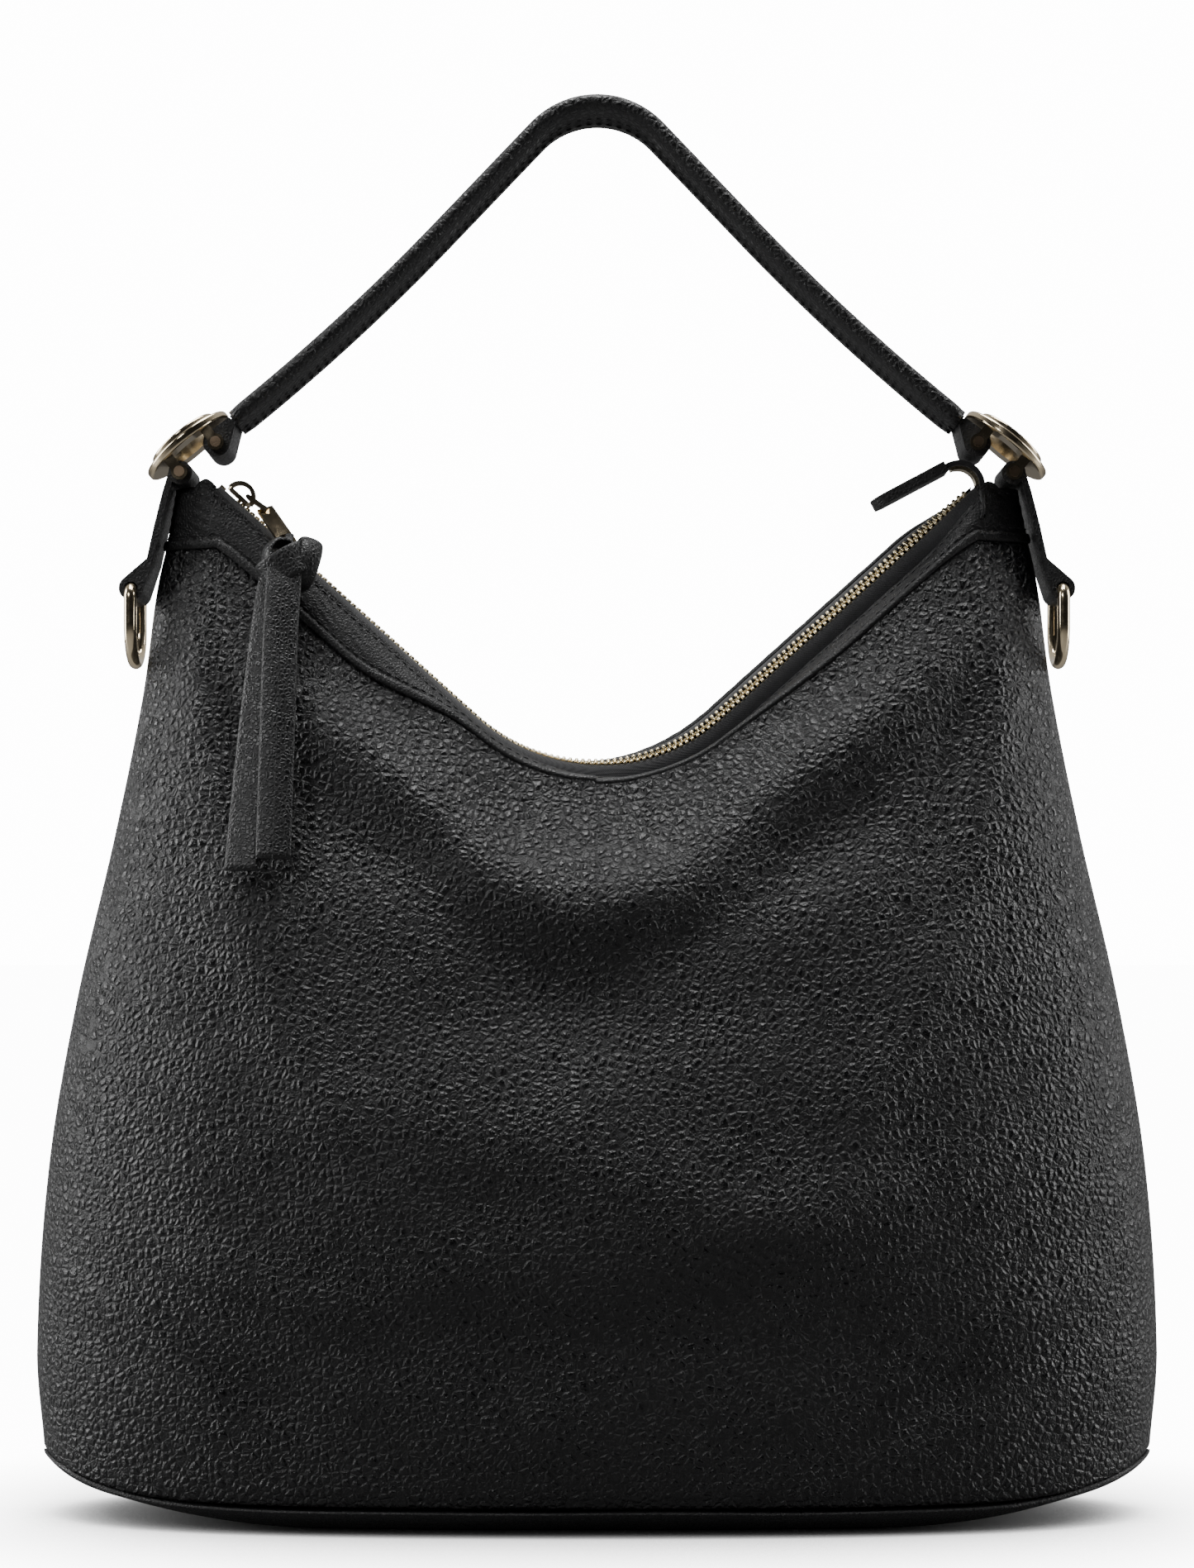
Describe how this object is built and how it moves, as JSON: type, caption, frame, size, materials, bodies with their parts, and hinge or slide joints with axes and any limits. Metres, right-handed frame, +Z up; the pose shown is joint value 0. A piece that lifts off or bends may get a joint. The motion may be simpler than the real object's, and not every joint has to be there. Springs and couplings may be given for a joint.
{
  "type": "hobo bag",
  "caption": "Slouchy leather shoulder bag with a V-shaped zipped opening, a padded handle on pivoting stepped rings, side D-rings and a knotted zip pull.",
  "frame": {"origin": "on the floor under the middle of the base", "axes": "+X to the wearer's right of the front view, +Y from front to back, +Z up towards the handle"},
  "size_m": [0.3602, 0.108, 0.4533],
  "materials": {
    "pebbled_leather": "pebbled, semi-gloss",
    "smooth_leather": "smooth, satin",
    "gold_hardware": "polished pale gold plate",
    "pin_metal": "darker recessed pin ends",
    "zip_teeth": "polished",
    "zip_tape": "woven twill",
    "lining_cloth": "plain woven cloth",
    "stiffener": "fibre board",
    "handle_filler": "firm filler"
  },
  "bodies": {
    "bag": {"front_panel": "pebbled_leather", "back_panel": "pebbled_leather", "zip_band_front": "smooth_leather", "zip_band_back": "smooth_leather", "base_panel": "smooth_leather", "base_board": "stiffener", "lining": "lining_cloth", "zip_tape_front": "zip_tape", "zip_tape_back": "zip_tape", "zip_teeth_front": "zip_teeth", "zip_teeth_back": "zip_teeth", "zip_top_stops": "gold_hardware", "side_strap_left": "smooth_leather", "side_strap_right": "smooth_leather"},
    "slider": {"zip_slider": "gold_hardware"},
    "pull": {"zip_pull": "gold_hardware"},
    "tassel": {"pull_thong": "smooth_leather"},
    "zip_tail": {"zip_tail_tape": "zip_tape", "zip_tail_teeth": "zip_teeth", "zip_tail_tab": "smooth_leather", "zip_end_stop": "gold_hardware"},
    "left_ring": {"ring_left": "gold_hardware", "strap_pin_left": "pin_metal", "handle_pin_left": "pin_metal"},
    "right_ring": {"ring_right": "gold_hardware", "strap_pin_right": "pin_metal", "handle_pin_right": "pin_metal"},
    "handle": {"handle_cover": "pebbled_leather", "handle_core": "handle_filler", "handle_tab_left": "smooth_leather", "handle_tab_right": "smooth_leather"},
    "left_d_ring": {"d_ring_left": "gold_hardware"},
    "right_d_ring": {"d_ring_right": "gold_hardware"}
  },
  "joints": [
    {"name": "left_ring_swing", "type": "hinge", "parent": "bag", "child": "left_ring", "pos_m": [-0.1329, 0, 0.3323], "axis": [0, 1, 0], "range_deg": [-4, 5]},
    {"name": "handle_sway", "type": "hinge", "parent": "left_ring", "child": "handle", "pos_m": [-0.12137, 0, 0.34174], "axis": [0, 1, 0], "range_deg": [-6.5, 5]},
    {"name": "right_ring_swing", "type": "hinge", "parent": "bag", "child": "right_ring", "pos_m": [0.1329, 0, 0.3323], "axis": [0, 1, 0], "range_deg": [-4, 5]},
    {"name": "left_d_ring_swing", "type": "hinge", "parent": "bag", "child": "left_d_ring", "pos_m": [-0.14868, 0, 0.2955], "axis": [0, 1, 0], "range_deg": [0, 100]},
    {"name": "right_d_ring_swing", "type": "hinge", "parent": "bag", "child": "right_d_ring", "pos_m": [0.14868, 0, 0.2955], "axis": [0, -1, 0], "range_deg": [0, 100]},
    {"name": "zip_slide", "type": "slide", "parent": "bag", "child": "slider", "axis": [0.7434, 0, -0.6689], "range_m": [0, 0.045]},
    {"name": "pull_swing", "type": "hinge", "parent": "slider", "child": "pull", "pos_m": [-0.11211, 0, 0.32573], "axis": [0, -1, 0], "range_deg": [0, 60]},
    {"name": "tassel_swing", "type": "hinge", "parent": "pull", "child": "tassel", "pos_m": [-0.09771, -0.01307, 0.30879], "axis": [-0.8926, -0.3137, -0.3238], "range_deg": [0, 80]},
    {"name": "zip_tail_flap", "type": "hinge", "parent": "bag", "child": "zip_tail", "pos_m": [0.1237, 0, 0.3289], "axis": [0, -1, 0], "range_deg": [0, 20]}
  ],
  "couplings": [
    {"joint": "handle_sway", "follows": "left_ring_swing", "ratio": -1.094},
    {"joint": "right_ring_swing", "follows": "left_ring_swing", "ratio": 1}
  ]
}
